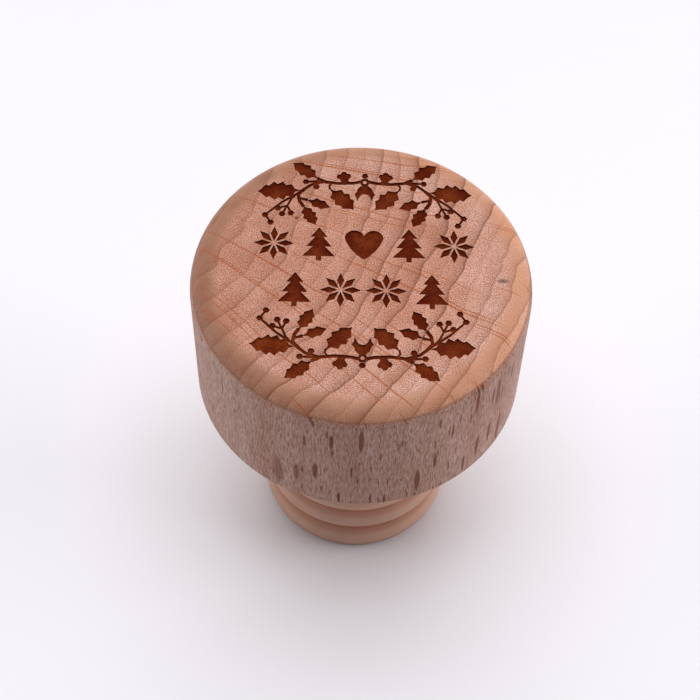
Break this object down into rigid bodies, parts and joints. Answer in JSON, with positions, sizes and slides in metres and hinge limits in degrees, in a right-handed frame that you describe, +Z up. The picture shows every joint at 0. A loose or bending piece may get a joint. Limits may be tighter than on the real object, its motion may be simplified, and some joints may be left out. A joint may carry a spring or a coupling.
{
  "type": "bottle stopper",
  "caption": "Bottle stopper with a turned beech head, a burnt holly garland engraved on its flat top, and a ribbed cork-coloured elastomer plug.",
  "frame": {"origin": "centre of the plug's flat lower end, on the surface that the stopper stands on", "axes": "+Z up along the stopper's axis, from the plug to the head; -Y is the side from which the engraving reads upright"},
  "size_m": [0.035, 0.035, 0.0408],
  "materials": {
    "beech": "satin",
    "cork_elastomer": "satin"
  },
  "bodies": {
    "root": {"turned_head": "beech", "ribbed_plug": "cork_elastomer"}
  },
  "joints": []
}
